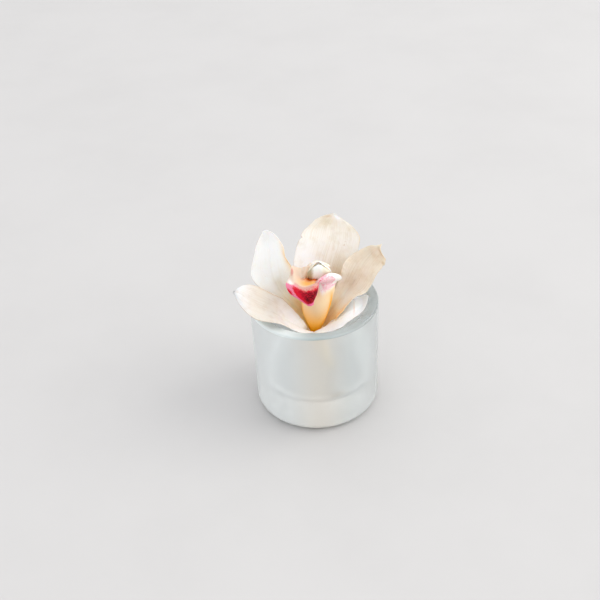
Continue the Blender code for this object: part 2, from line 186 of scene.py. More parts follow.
# Most of a noise pattern lies between these values
NOISE_MIDDLE = (0.3, 0.7)


def tone(code: str) -> Colour:
    """Turn a six-digit screen colour into the linear light that shaders work in.

    Args:
        code: Red, green and blue as two hexadecimal digits each.

    Returns:
        The colour's three linear parts.
    """
    parts = (int(code[place : place + 2], 16) / 255.0 for place in (0, 2, 4))
    return tuple(part / 12.92 if part <= 0.04045 else ((part + 0.055) / 1.055) ** 2.4 for part in parts)


def bell(place: np.ndarray, centre: float, reach: float) -> np.ndarray:
    """Fall smoothly from 1 at the centre to nothing a few reaches away."""
    return np.exp(-(((place - centre) / reach) ** 2))


def ease(place: np.ndarray, start: float, end: float) -> np.ndarray:
    """Rise smoothly from 0 at the start to 1 at the end."""
    share = np.clip((place - start) / (end - start), 0.0, 1.0)
    return share * share * (3.0 - 2.0 * share)


def window(place: np.ndarray, rise: Span, fall: Span) -> np.ndarray:
    """Rise smoothly over the first span and fall again over the second."""
    return ease(place, *rise) * (1.0 - ease(place, *fall))


def grain(along: np.ndarray, across: np.ndarray, cells: tuple[float, float], seed: float) -> np.ndarray:
    """Smooth random relief over a blade.

    Args:
        along: Places along the blade, one for each row.
        across: Places across the blade, one for each column.
        cells: How many bumps there are along the blade and across half of it.
        seed: A number that picks one of many such reliefs.

    Returns:
        Heights from about -1 to 1, by row and column.
    """
    return np.array(
        [[noise.noise(Vector((t * cells[1], s * cells[0], seed))) for t in across] for s in along]
    )


def spline(knots: np.ndarray, points: np.ndarray, samples: np.ndarray) -> np.ndarray:
    """Read a natural cubic spline at the samples.

    Args:
        knots: Rising parameter of each point.
        points: One row for each knot.
        samples: Parameters to read the curve at.

    Returns:
        One row for each sample.
    """
    count = len(knots)
    steps = np.diff(knots)
    system = np.eye(count)
    bends = np.zeros_like(points)
    for i in range(1, count - 1):
        system[i, i - 1 : i + 2] = (steps[i - 1], 2.0 * (steps[i - 1] + steps[i]), steps[i])
        rise = (points[i + 1] - points[i]) / steps[i]
        run = (points[i] - points[i - 1]) / steps[i - 1]
        bends[i] = 6.0 * (rise - run)
    bends = np.linalg.solve(system, bends)
    samples = np.clip(samples, knots[0], knots[-1])
    span = np.clip(np.searchsorted(knots, samples, side="right") - 1, 0, count - 2)
    step = steps[span][:, None]
    after = (samples - knots[span])[:, None]
    before = step - after
    return (
        bends[span] * before**3 / (6.0 * step)
        + bends[span + 1] * after**3 / (6.0 * step)
        + (points[span] / step - bends[span] * step / 6.0) * before
        + (points[span + 1] / step - bends[span + 1] * step / 6.0) * after
    )


def chord_knots(points: np.ndarray) -> np.ndarray:
    """Knots from 0 to 1, spaced by the distance between the points."""
    lengths = np.linalg.norm(np.diff(points, axis=0), axis=1)
    knots = np.concatenate(([0.0], np.cumsum(lengths)))
    return knots / knots[-1]


def keep_in_box(points: np.ndarray) -> np.ndarray:
    """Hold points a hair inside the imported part's box."""
    low = np.array(CAD_BOX[0]) + 0.02 * MM
    high = np.array(CAD_BOX[1]) - 0.02 * MM
    return np.clip(points, low, high)


class Shader:
    """A material in the making: its Principled shader and short calls for the nodes that feed it."""

    def __init__(self, name: str, constants: dict[str, float | Sequence[float]]) -> None:
        """Start a material.

        Args:
            name: The material's name.
            constants: Values set on the shader's own sockets, by socket name.
        """
        self.material = bpy.data.materials.new(name)
        self.material.use_nodes = True
        self.tree = self.material.node_tree
        self.principled = self.tree.nodes["Principled BSDF"]
        for socket, value in constants.items():
            self.principled.inputs[socket].default_value = value

    def node(self, kind: str, sources: dict[int | str, Source], **settings: object) -> bpy.types.Node:
        """Add a node, set it up and feed it.

        Args:
            kind: Blender's name for the node's type.
            sources: What each input gets, by its number or name: another node's output or a constant.
            settings: The node's own options.

        Returns:
            The new node.
        """
        made = self.tree.nodes.new(kind)
        for option, value in settings.items():
            setattr(made, option, value)
        for socket, source in sources.items():
            if isinstance(source, Socket):
                self.tree.links.new(source, made.inputs[socket])
            else:
                made.inputs[socket].default_value = source
        return made

    def feed(self, socket: str, source: Socket) -> None:
        """Drive one of the shader's sockets from a node's output."""
        self.tree.links.new(source, self.principled.inputs[socket])

    def place(self) -> Socket:
        """Where a point lies in the object, in metres."""
        return self.node("ShaderNodeTexCoord", {}).outputs["Object"]

    def blade_plane(self) -> Socket:
        """Where a point lies on its blade: across it in X and along it in Y, each from 0 to 1."""
        return self.node("ShaderNodeUVMap", {}).outputs[0]

    def part(self, vector: Source, axis: str) -> Socket:
        """One coordinate of a vector."""
        return self.node("ShaderNodeSeparateXYZ", {0: vector}).outputs[axis]

    def mark(self, name: str) -> Socket:
        """The strength of a painted marking, from the mesh's attribute of that name."""
        return self.node("ShaderNodeAttribute", {}, attribute_name=name).outputs["Fac"]

    def calc(self, operation: str, first: Source, second: Source = 0.0) -> Socket:
        """One step of arithmetic."""
        return self.node("ShaderNodeMath", {0: first, 1: second}, operation=operation).outputs[0]

    def times(self, first: Source, second: Source) -> Socket:
        """Multiply two values."""
        return self.calc("MULTIPLY", first, second)

    def away(self, value: Source, middle: float) -> Socket:
        """How far a value lies from a middle one."""
        return self.calc("ABSOLUTE", self.calc("SUBTRACT", value, middle))

    def sway(self, pattern: Source, size: float) -> Socket:
        """Turn a pattern from 0 to 1 into a sway of the given size about 0."""
        return self.times(self.calc("SUBTRACT", pattern, 0.5), size)

    def span(self, value: Source, start: float, end: float, low: float = 0.0, high: float = 1.0) -> Socket:
        """Map a range smoothly onto another, and hold it at both ends."""
        sources = {0: value, 1: start, 2: end, 3: low, 4: high}
        return self.node("ShaderNodeMapRange", sources, interpolation_type="SMOOTHSTEP").outputs[0]

    def scaled(self, vector: Source, scale: Point, shift: Point = (0.0, 0.0, 0.0)) -> Socket:
        """Stretch and shift a pattern."""
        sources = {"Vector": vector, "Scale": scale, "Location": shift}
        return self.node("ShaderNodeMapping", sources).outputs[0]

    def clouds(self, vector: Source, scale: float, detail: float = 2.0, roughness: float = 0.5) -> Socket:
        """Smooth noise, from 0 to 1."""
        sources = {"Vector": vector, "Scale": scale, "Detail": detail, "Roughness": roughness}
        return self.node("ShaderNodeTexNoise", sources).outputs["Fac"]

    def blend(self, share: Source, first: Source, second: Source, mode: str = "MIX") -> Socket:
        """Mix two colours by a share from 0 to 1."""
        colours = {6: first, 7: second}
        sources = {k: (*v, 1.0) if isinstance(v, tuple) else v for k, v in colours.items()}
        made = self.node("ShaderNodeMix", {0: share, **sources}, data_type="RGBA", blend_type=mode)
        return made.outputs[2]

    def layered(self, base: Source, layers: Sequence[tuple]) -> Source:
        """Paint layers over a base colour, each with its share, its colour and at will its blending mode."""
        for share, colour, *mode in layers:
            base = self.blend(share, base, colour, *mode)
        return base

    def ramp(self, share: Source, stops: Sequence[tuple[float, Colour]]) -> Socket:
        """Read a colour from a smooth ramp with the given stops."""
        made = self.node("ShaderNodeValToRGB", {0: share})
        elements = made.color_ramp.elements
        made.color_ramp.interpolation = "EASE"
        while len(elements) < len(stops):
            elements.new(0.5)
        for element, (position, colour) in zip(elements, stops):
            element.position = position
            element.color = (*colour, 1.0)
        return made.outputs[0]

    def matt(self, pattern: Source, low: float, high: float) -> None:
        """Let the roughness follow a pattern between two values."""
        self.feed("Roughness", self.span(pattern, *NOISE_MIDDLE, low, high))

    def bump(self, height: Source, strength: float, distance: float) -> None:
        """Raise the surface by a height pattern, over a distance in metres."""
        made = self.node("ShaderNodeBump", {"Height": height, "Strength": strength, "Distance": distance})
        self.feed("Normal", made.outputs[0])


@dataclass(frozen=True)
class TepalFinish:
    """The waxy skin of a sepal or petal: cream with fine lengthwise veins and thin tan edges."""

    name: str
    claw: Colour
    body: Colour
    tip: Colour
    vein: Colour
    # Colours of the painted markings; on some blades the pale one paints light and the blush and bruise ones
    # paint shade
    pale: Colour = tone("fdfcfa")
    blush_and_shade: Colour = tone("f2cfa6")
    bruise_and_shade: Colour = tone("b98f5e")
    edge: Colour = tone("c9a27a")
    claw_end: float = 0.42
    tip_start: float = 0.72
    border_sway: float = 0.16
    vein_depth: float = 0.35
    vein_cells: Point = (62.0, 2.6, 1.0)
    cloud_cells: Point = (13.0, 1.4, 1.0)
    cloud_shift: float = 4.0
    mottling: float = 0.30
    mottle_scale: float = 210.0
    spotting: float = 0.35
    spot_scale: float = 900.0
    tanning: float = 0.65
    tan_span: Span = (0.486, 0.499)
    relief: float = 0.22 * MM
    glow: float = 0.35
    seed: float = 0.0

    def build(self) -> bpy.types.Material:
        """Make the material.

        Returns:
            A Principled material that reads the blade's UV map and its painted markings, among them painted
            light and painted shade on some blades.
        """
        shader = Shader(
            self.name,
            {
                "Specular IOR Level": 0.35,
                "Subsurface Weight": self.glow,
                "Subsurface Radius": (1.0, 0.72, 0.5),
                "Subsurface Scale": 1.4 * MM,
                "Sheen Weight": 0.05,
            },
        )
        plane, place = shader.blade_plane(), shader.place()
        fine = shader.clouds(shader.scaled(plane, self.vein_cells, (0.0, 0.0, self.seed)), 1.0, 3.0, 0.6)
        shift = (self.cloud_shift, 0.0, self.seed)
        broad = shader.clouds(shader.scaled(plane, self.cloud_cells, shift), 1.0, 2.0)
        mottle = shader.clouds(place, self.mottle_scale, 4.0, 0.6)
        spots = shader.span(shader.clouds(place, self.spot_scale, 1.0), 0.74, 0.80)
        margin = shader.span(shader.away(shader.part(plane, "X"), 0.5), *self.tan_span)
        tan = shader.times(margin, shader.span(broad, 0.35, 0.62))
        reach = shader.calc("ADD", shader.part(plane, "Y"), shader.sway(broad, self.border_sway))
        stops = (
            (0.02, self.claw), (self.claw_end, self.body), (self.tip_start, self.body), (1.0, self.tip),
        )
        layers = (
            # The blush mark paints the blade's own flush of colour, and on the dorsal sepal a painted shade
            (shader.mark("blush_and_shade"), self.blush_and_shade),
            (shader.times(shader.span(fine, 0.46, 0.66), self.vein_depth), self.vein, "MULTIPLY"),
            # The pale mark whitens the blade's own pale parts, and on some blades paints light over their
            # shade
            (shader.mark("pale"), self.pale),
            (shader.times(shader.span(mottle, 0.45, 0.75), self.mottling), self.vein, "MULTIPLY"),
            (shader.times(tan, self.tanning), self.edge),
            (shader.times(spots, self.spotting), self.bruise_and_shade),
            # The bruise mark paints real browning on some blades and painted shade on the petals
            (shader.times(shader.mark("bruise_and_shade"), shader.span(mottle, 0.25, 0.65, 0.55, 1.0)), self.bruise_and_shade),
        )
        shader.feed("Base Color", shader.layered(shader.ramp(reach, stops), layers))
        shader.matt(fine, 0.42, 0.58)
        shader.bump(shader.calc("ADD", fine, shader.times(broad, 0.8)), 0.30, self.relief)
        return shader.material


class LipSide(Enum):
    """The two faces of the lip."""

    INNER = "lip_inner"
    OUTER = "lip_outer"


@dataclass(frozen=True)
class LipFinish:
    """The lip's velvety skin: peach and saffron, with markings whose borders break up into speckles."""

    side: LipSide
    peach: Colour = tone("dfcbb6")
    saffron: Colour = tone("ffb000")
    orange: Colour = tone("d9650f")
    pink: Colour = tone("f08aa6")
    white: Colour = tone("fdf8f4")
    crimson: Colour = tone("d40a2c")
    maroon: Colour = tone("5c000c")
    dusk: Colour = tone("cf9488")
    rim: Colour = tone("f07ca6")
    speck_scale: float = 2600.0
    blotch_scale: float = 1700.0
    streak_cells: Point = (46.0, 7.0, 1.0)
    relief: float = 0.16 * MM

    def build(self) -> bpy.types.Material:
        """Make the material.

        Returns:
            A Principled material that reads the lip's markings from the mesh.
        """
        shader = Shader(
            self.side.value,
            {
                "Specular IOR Level": 0.12,
                "Subsurface Weight": 0.12,
                "Subsurface Radius": (1.0, 0.45, 0.3),
                "Subsurface Scale": 1.0 * MM,
                "Sheen Weight": 0.02,
            },
        )
        place = shader.place()
        speck = shader.clouds(place, self.speck_scale, 3.0, 0.65)
        blotch = shader.clouds(place, self.blotch_scale, 3.0, 0.6)
        streak = shader.clouds(shader.scaled(shader.blade_plane(), self.streak_cells), 1.0, 2.0)
        layers = (
            (shader.mark("saffron"), self.saffron),
            (shader.mark("orange"), self.orange),
            (self.broken(shader, "dusk", speck, 0.35), self.dusk),
            (shader.mark("white"), self.white),
            (self.broken(shader, "pink", speck, 0.55), self.pink),
            (self.broken(shader, "crimson", speck, 1.1), self.crimson),
            (shader.times(shader.mark("maroon"), shader.span(blotch, 0.34, 0.54)), self.maroon),
            (shader.times(shader.mark("rim"), shader.span(streak, 0.2, 0.6, 0.6, 1.0)), self.rim),
        )
        shader.feed("Base Color", shader.layered(self.peach, layers))
        shader.matt(speck, 0.46, 0.66)
        shader.bump(shader.calc("ADD", speck, streak), 0.28, self.relief)
        return shader.material

    def broken(self, shader: Shader, name: str, speck: Source, spread: float) -> Socket:
        """Break a marking's soft border up into speckles.

        Args:
            shader: The material in the making.
            name: The marking.
            speck: Fine noise.
            spread: How strongly the noise moves the border.

        Returns:
            The marking's share of the colour.
        """
        moved = shader.calc("ADD", shader.mark(name), shader.sway(speck, spread * 2.0))
        return shader.span(moved, 0.25, 0.75)


@dataclass(frozen=True)
class FleshFinish:
    """Smooth plant flesh with a slow change of colour over its height and fine mottling."""

    name: str
    low: Colour
    high: Colour
    mottle: Colour
    heights: Span
    mottling: float = 0.5
    line_cells: Point = (900.0, 900.0, 60.0)
    line_scale: float = 0.6
    cell_scale: float = 1500.0

    def build(self) -> bpy.types.Material:
        """Make the material.

        Returns:
            A Principled material on the object's own coordinates.
        """
        shader = Shader(
            self.name,
            {
                "Specular IOR Level": 0.45,
                "Subsurface Weight": 0.25,
                "Subsurface Radius": (1.0, 0.75, 0.45),
                "Subsurface Scale": 1.2 * MM,
            },
        )
        place = shader.place()
        lines = shader.clouds(shader.scaled(place, self.line_cells), self.line_scale, 3.0)
        cells = shader.clouds(place, self.cell_scale, 3.0)
        colour = shader.blend(shader.span(shader.part(place, "Z"), *self.heights), self.low, self.high)
        share = shader.times(shader.span(lines, 0.42, 0.70), self.mottling)
        shader.feed("Base Color", shader.blend(share, colour, self.mottle))
        shader.matt(cells, 0.36, 0.52)
        shader.bump(shader.calc("ADD", lines, cells), 0.25, 0.15 * MM)
        return shader.material


@dataclass(frozen=True)
class CapFinish:
    """The anther cap's waxy skin: cream, then beige on the right, with the hood's shade painted in brown on
    the left.
    """

    # Painted shade of the hood on the cap's left side
    shade: Colour = tone("b39c7c")
    cream: Colour = tone("fcf9f0")
    beige: Colour = tone("f0e0c6")
    sides: Span = (-2.4 * MM, 8.2 * MM)
    places: tuple[float, ...] = (0.12, 0.32, 0.56, 0.80)
    waver: float = 1.2 * MM
    cell_scale: float = 1400.0

    def build(self) -> bpy.types.Material:
        """Make the material.

        Returns:
            A Principled material on the object's own coordinates.
        """
        constants = {"Specular IOR Level": 0.4, "Subsurface Weight": 0.15, "Coat Weight": 0.08}
        shader = Shader("anther_skin", constants)
        place = shader.place()
        cells = shader.clouds(place, self.cell_scale, 3.0)
        side = shader.calc("ADD", shader.part(place, "X"), shader.sway(cells, self.waver))
        left, right = self.sides
        share = shader.node("ShaderNodeMapRange", {0: side, 1: left, 2: right}).outputs[0]
        colours = (self.shade, self.cream, self.cream, self.beige)
        shader.feed("Base Color", shader.ramp(share, tuple(zip(self.places, colours))))
        shader.matt(cells, 0.34, 0.50)
        shader.bump(cells, 0.2, 0.12 * MM)
        return shader.material


@dataclass(frozen=True)
class GlassFinish:
    """Thick soda glass, clear where it is polished and misty where it is frosted.

    Its clearness changes from its left side to its right one, so that light is painted on it: its milkier
    side reads lighter. A soft upright band takes a painted colour and a little more mist, a stand-in for what
    shows in the glass: the stem's warm image through the frosting, a grey painted shade on the rim.
    """

    name: str
    tint: Colour
    roughness: Span
    grain_scale: float
    grain_depth: float
    # A clearness that changes from left to right paints light on the milkier side
    clearness: Span = (1.0, 1.0)
    # The upright band's painted colour and mist stand in for light and shade seen in the glass
    band_strength: float = 0.0
    painted_band_colour: Colour = tone("fff9ee")
    band_mist: float = 0.05
    band_middle: float = 1.0 * MM
    band_reach: float = 18.0 * MM
    side_reach: float = 32.0 * MM
    haze_scale: float = 60.0
    haze_dimming: float = 0.985
    ior: float = 1.5

    def build(self) -> bpy.types.Material:
        """Make the material.

        Returns:
            A transmissive Principled material.
        """
        left, right = self.clearness
        shader = Shader(self.name, {"Transmission Weight": left, "IOR": self.ior})
        place = shader.place()
        side = shader.part(place, "X")
        off = shader.away(side, self.band_middle)
        band = shader.span(off, 0.0, self.band_reach, self.band_strength, 0.0)
        # Painted light: the glass grows clearer from one side to the other
        if left != right:
            clear = shader.span(side, -self.side_reach, self.side_reach, left, right)
            mist = shader.times(band, self.band_mist)
            shader.feed("Transmission Weight", shader.calc("SUBTRACT", clear, mist))
        haze = shader.clouds(place, self.haze_scale, 3.0)
        dim = tuple(light * self.haze_dimming for light in self.tint)
        colour = shader.blend(shader.span(haze, *NOISE_MIDDLE), self.tint, dim)
        # Paint the band's stand-in for light and shade over the glass's colour
        shader.feed("Base Color", shader.blend(band, colour, self.painted_band_colour))
        shader.matt(haze, *self.roughness)
        shader.bump(shader.clouds(place, self.grain_scale, 2.0), 0.2, self.grain_depth)
        return shader.material


@dataclass(frozen=True)
class FloorFinish:
    """A matt pale table top with the faintest mottling."""

    name: str = "pale_table"
    colour: Colour = tone("cccbca")
    dimming: float = 0.965
    cloud_scale: float = 9.0
    tooth_scale: float = 700.0

    def build(self) -> bpy.types.Material:
        """Make the material.

        Returns:
            A matt Principled material.
        """
        shader = Shader(self.name, {"Specular IOR Level": 0.15, "Roughness": 0.8})
        place = shader.place()
        cloud = shader.clouds(place, self.cloud_scale, 4.0, 0.6)
        dim = tuple(light * self.dimming for light in self.colour)
        shader.feed("Base Color", shader.blend(shader.span(cloud, 0.35, 0.75), self.colour, dim))
        shader.bump(shader.clouds(place, self.tooth_scale, 3.0), 0.05, 0.2 * MM)
        return shader.material


@dataclass(frozen=True)
class Patch:
    """A soft oval marking or dent on a blade."""

    along: float
    across: float
    reach_along: float
    reach_across: float
    strength: float = 1.0

    def share(self, along: np.ndarray, across: np.ndarray) -> np.ndarray:
        """The patch's strength over a grid of rows and columns."""
        rows = bell(along, self.along, self.reach_along)
        columns = bell(across, self.across, self.reach_across)
        return self.strength * rows[:, None] * columns[None, :]


@dataclass(frozen=True)
class Curl:
    """A stretch of a margin that rolls up or down, with its lift in millimetres."""

    side: int
    along: float
    reach: float
    lift: float
    start: float = 0.6

    def share(self, along: np.ndarray, across: np.ndarray) -> np.ndarray:
        """The curl's lift over a grid, in metres."""
        rows = bell(along, self.along, self.reach)
        columns = np.clip((across * self.side - self.start) / (1.0 - self.start), 0.0, 1.0) ** 2
        return self.lift * MM * rows[:, None] * columns[None, :]


@dataclass(frozen=True)
class Nick:
    """A place where a margin is drawn in towards the midrib, by a depth in millimetres."""

    side: int
    along: float
    reach: float
    depth: float

    def share(self, along: np.ndarray, across: np.ndarray) -> np.ndarray:
        """How far points are drawn in over a grid, in metres."""
        rows = bell(along, self.along, self.reach)
        columns = ease(across * self.side, 0.45, 1.0)
        return self.depth * MM * rows[:, None] * columns[None, :]


@dataclass
class Piece:
    """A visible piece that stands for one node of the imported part."""

    node: str
    slot: str
    label: str = ""

    def publish(self, shape: bmesh.types.BMesh, finishes: Sequence[bpy.types.Material]) -> bpy.types.Object:
        """Turn a bmesh into the piece's object and hang it in the frame.

        Args:
            shape: The finished shape, which is freed.
            finishes: The materials, in the order of the faces' material numbers.

        Returns:
            The new object.
        """
        name = f"{self.label or self.node}_fine"
        mesh = bpy.data.meshes.new(name)
        shape.to_mesh(mesh)
        shape.free()
        for finish in finishes:
            mesh.materials.append(finish)
        mesh.shade_smooth()
        made = bpy.data.objects.new(name, mesh)
        bpy.context.scene.collection.objects.link(made)
        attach(made, BODY)
        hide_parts(self.node)
        return made


@dataclass
class Blade(Piece):
    """A tepal: a thin sheet laid on its guide curves, with a keel, veins, wrinkles and a crisped margin."""

    stations: Stations = ()
    finish: TepalFinish | None = None
    wave_start: float = 0.0
    curls: tuple[Curl, ...] = ()
    nicks: tuple[Nick, ...] = ()
    dents: tuple[Patch, ...] = ()
    # Patches of the pale, blush and bruise markings: the blade's own colour, and on some blades painted light
    # and shade
    pales: tuple[Patch, ...] = ()
    blush_and_shade_patches: tuple[Patch, ...] = ()
    bruise_and_shade_patches: tuple[Patch, ...] = ()
    rows: int = 120
    columns: int = 56
    thickness: float = 0.5 * MM
    thin_share: float = 0.4
    wave: float = 0.5 * MM
    waves: float = 2.5
    keel: float = 0.35 * MM
    ridge: float = 0.05 * MM
    wrinkle: float = 0.22 * MM
    crisp: float = 0.22 * MM
    ragged: float = 0.18 * MM
    seed: float = 1.0

    def places(self) -> tuple[np.ndarray, np.ndarray]:
        """The rows' places along the blade and the columns' places across it."""
        return np.linspace(0.0, 1.0, self.rows + 1), np.linspace(-1.0, 1.0, self.columns + 1)

    def base_points(self, along: np.ndarray, across: np.ndarray) -> np.ndarray:
        """Points of the inner face before its relief, by row and column, in metres."""
        stations = np.asarray(self.stations, dtype=float) * MM
        guides = stations.shape[1]
        knots = chord_knots(stations[:, guides // 2])
        curves = np.stack([spline(knots, stations[:, i], along) for i in range(guides)], axis=1)
        guide_places = np.linspace(-1.0, 1.0, guides)
        return np.stack([spline(guide_places, curve, across) for curve in curves])

    def relief(self, along: np.ndarray, across: np.ndarray) -> np.ndarray:
        """Heights over the base surface, in metres: waves, keel, veins, wrinkles, curls and dents."""
        s, t = along[:, None], across[None, :]
        middle = np.sin(math.pi * s)
        swing = np.sin(2.0 * math.pi * self.waves * s + self.wave_start * np.sign(t))
        height = self.wave * swing * t**4 * middle
        height = height - self.keel * bell(t, 0.0, 0.07) * np.sqrt(np.clip(middle, 0.0, 1.0))
        height = height + self.ridge * self.grained(RIDGES, along, across)
        height = height + self.wrinkle * self.grained(WRINKLES, along, across) * np.abs(t) * middle
        fringe = ease(np.abs(t), 0.55, 1.0) * middle
        height = height + self.crisp * self.grained(CRISPING, along, across) * fringe
        for curl in self.curls:
            height = height + curl.share(along, across)
        for dent in self.dents:
            height = height + dent.share(along, across) * MM
        return height

    def grained(self, kind: Point, along: np.ndarray, across: np.ndarray) -> np.ndarray:
        """One kind of random relief, as this blade's seed makes it."""
        return grain(along, across, kind[:2], self.seed + kind[2])

    def shaped_points(self, along: np.ndarray, across: np.ndarray) -> np.ndarray:
        """Points of the inner face with its relief and its margin's outline."""
        points = self.base_points(along, across)
        run = np.gradient(points, axis=1)
        rise = np.gradient(points, axis=0)
        normals = np.cross(run, rise)
        normals /= np.linalg.norm(normals, axis=2, keepdims=True) + 1e-12
        points = points + normals * self.relief(along, across)[..., None]
        inward = points[:, self.columns // 2, None, :] - points
        inward /= np.linalg.norm(inward, axis=2, keepdims=True) + 1e-9
        drawn = sum((nick.share(along, across) for nick in self.nicks), np.zeros(points.shape[:2]))
        rough = self.ragged * self.grained(FRAYING, along, across)
        drawn = drawn + rough * ease(np.abs(across), 0.8, 1.0)[None, :] * np.sin(math.pi * along)[:, None]
        return keep_in_box(points + inward * drawn[..., None])

    def markings(self, along: np.ndarray, across: np.ndarray) -> dict[str, np.ndarray]:
        """Strength of each painted marking, from 0 to 1, by row and column."""
        nothing = np.zeros((len(along), len(across)))
        patches = {"pale": self.pales, "blush_and_shade": self.blush_and_shade_patches, "bruise_and_shade": self.bruise_and_shade_patches}
        return {
            name: np.clip(sum((patch.share(along, across) for patch in group), nothing), 0.0, 1.0)
            for name, group in patches.items()
        }

    def finishes(self) -> list[bpy.types.Material]:
        """The blade's materials, the inner face's first."""
        return [self.finish.build()]

    def sheet(self) -> bmesh.types.BMesh:
        """Lay a grid on the blade, with its UV map, its markings and its share of thickness.

        Returns:
            The open sheet.
        """
        along, across = self.places()
        points = self.shaped_points(along, across)
        marks = self.markings(along, across)
        thinning = (1.0 - self.thin_share) * np.abs(across) ** 3
        marks["thick"] = np.tile(1.0 - thinning, (len(along), 1))
        shape = bmesh.new()
        layers = {name: shape.verts.layers.float.new(name) for name in marks}
        mapping = shape.loops.layers.uv.new("blade")
        bmesh.ops.create_grid(shape, x_segments=self.columns, y_segments=self.rows, size=1.0)
        for corner in shape.verts:
            row = round((corner.co.y + 1.0) / 2.0 * self.rows)
            column = round((corner.co.x + 1.0) / 2.0 * self.columns)
            for name, layer in layers.items():
                corner[layer] = float(marks[name][row, column])
            for loop in corner.link_loops:
                loop[mapping].uv = (column / self.columns, row / self.rows)
            corner.co = Vector(points[row, column])
        shape.normal_update()
        return shape

    def build(self) -> bpy.types.Object:
        """Build and dress the blade.

        Returns:
            Its object, with its thickness as a modifier.
        """
        made = self.publish(self.sheet(), self.finishes())
        group = made.vertex_groups.new(name="thick")
        thick = made.data.attributes["thick"].data
        for index, entry in enumerate(thick):
            group.add((index,), entry.value, "REPLACE")
        wall = made.modifiers.new("thickness", "SOLIDIFY")
        wall.thickness = self.thickness
        wall.offset = -1.0
        wall.vertex_group = group.name
        wall.material_offset = len(made.data.materials) - 1
        return made


@dataclass
class Lip(Blade):
    """The lip: a trough with two side lobes, a midlobe that curls over and raised keels in its throat."""

    rows: int = 190
    columns: int = 110
    thickness: float = 0.6 * MM
    keel: float = 0.0
    ridge: float = 0.03 * MM
    wrinkle: float = 0.25 * MM
    crisp: float = 0.25 * MM
    callus: float = 0.7 * MM
    papilla: float = 0.07 * MM
    border: tuple[tuple[float, float], ...] = (
        (-1.0, 0.888), (-0.5, 0.878), (0.0, 0.852), (0.4, 0.818), (0.6, 0.838), (0.75, 0.860), (1.0, 0.868),
    )

    def relief(self, along: np.ndarray, across: np.ndarray) -> np.ndarray:
        """The blade's relief, with the throat's two keels and the midlobe's fine papillae."""
        height = super().relief(along, across)
        s, t = along[:, None], across[None, :]
        keels = bell(np.abs(t), 0.14, 0.07) * bell(s, 0.62, 0.09)
        midlobe = ease(s, 0.74, 0.82)
        height = height + self.callus * keels
        return height + self.papilla * self.grained(PAPILLAE, along, across) * midlobe

    def markings(self, along: np.ndarray, across: np.ndarray) -> dict[str, np.ndarray]:
        """Where the lip's colours lie.

        Args:
            along: Places along the lip.
            across: Places across the lip; its left margin in the picture is at 1.

        Returns:
            Strength of each colour, by row and column.
        """
        s, t = along[:, None], across[None, :]
        spots = {name: Patch(*spot).share(along, across) for name, spot in LIP_SPOTS.items()}
        border = np.interp(t, *zip(*self.border))
        left, right = ease(t, 0.46, 0.68), ease(-t, 0.20, 0.30)
        crimson = ease(s, border - 0.055, border + 0.045)
        fringe = bell(s - border, -0.010, 0.030) * ease(t, 0.10, 0.50)
        band = ease(s, border - 0.110, border - 0.050) * (1.0 - left)
        right_lobe = right * window(s, (0.43, 0.50), (0.795, 0.83))
        left_pink = left * ease(s, 0.812, 0.840)
        white_tip = ease(-t, 0.74, 0.86) * window(s, (0.50, 0.60), (0.76, 0.80))
        white = np.clip(white_tip + spots["strip"], 0.0, 1.0)
        belly = 1.0 - ease(s, 0.07, 0.40)
        grooves = bell(np.abs(t), 0.60, 0.12) * (1.0 - ease(s, 0.30, 0.50))
        maroon = ease(s, border, border + 0.03) * (1.0 - ease(t, 0.05, 0.40))
        margin = ease(t, 0.48, 0.62) * ease(s, 0.890, 0.915) + ease(s, 0.970, 0.985)
        pale_edge = ease(-t, 0.90, 0.97) * ease(s, 0.80, 0.84)
        kept = 1.0 - 0.8 * left * (1.0 - ease(s, 0.90, 0.93))
        marks = {
            "saffron": belly + spots["throat"] + grooves,
            "orange": spots["crescent"],
            "dusk": 0.60 * band + 0.9 * spots["fold"],
            "white": white + spots["wing"] + 0.92 * right_lobe,
            "pink": (0.50 * right_lobe + 0.9 * left_pink + 0.30 * band + 0.40 * fringe) * (1.0 - white),
            "crimson": crimson * kept + spots["knob"] + spots["hot"],
            "maroon": maroon * (1.0 - ease(s, 0.965, 0.985)),
            "rim": margin + pale_edge,
        }
        ones = np.ones((len(along), len(across)))
        return {name: np.clip(mark, 0.0, 1.0) * ones for name, mark in marks.items()}

    def finishes(self) -> list[bpy.types.Material]:
        """The lip's inner and outer faces have their own skins."""
        return [LipFinish(LipSide.INNER).build(), LipFinish(LipSide.OUTER, peach=tone("f7d9b0")).build()]


class Part(Enum):
    """Where on the tumbler a face lies."""

    FROSTED = 0
    POLISHED = 1
    RIM = 2


def arc(centre: tuple[float, float], radius: float, start: float, end: float, steps: int) -> list[tuple]:
    """Points on an arc in the XZ plane.

    Args:
        centre: The arc's centre.
        radius: Its radius.
        start: First angle in degrees.
        end: Last angle in degrees.
        steps: How many pieces the arc has.

    Returns:
        The points, with both ends.
    """
    angles = np.radians(np.linspace(start, end, steps + 1))
    return [(centre[0] + radius * math.cos(a), centre[1] + radius * math.sin(a)) for a in angles]


def turned(profile: Sequence[tuple[float, float]], sides: int) -> bmesh.types.BMesh:
    """Turn a profile about Z into a closed shape.

    Args:
        profile: Radius and height of each point, from the axis and back to it.
        sides: How many steps the turn has.

    Returns:
        The closed shape, with its faces out.
    """
    shape = bmesh.new()
    corners = [shape.verts.new((radius, 0.0, height)) for radius, height in profile]
    edges = [shape.edges.new(pair) for pair in zip(corners, corners[1:])]
    bmesh.ops.spin(
        shape,
        geom=corners + edges,
        cent=(0.0, 0.0, 0.0),
        axis=(0.0, 0.0, 1.0),
        angle=2.0 * math.pi,
        steps=sides,
        use_merge=True,
    )
    bmesh.ops.remove_doubles(shape, verts=shape.verts[:], dist=0.002 * MM)
    bmesh.ops.recalc_face_normals(shape, faces=shape.faces[:])
    return shape


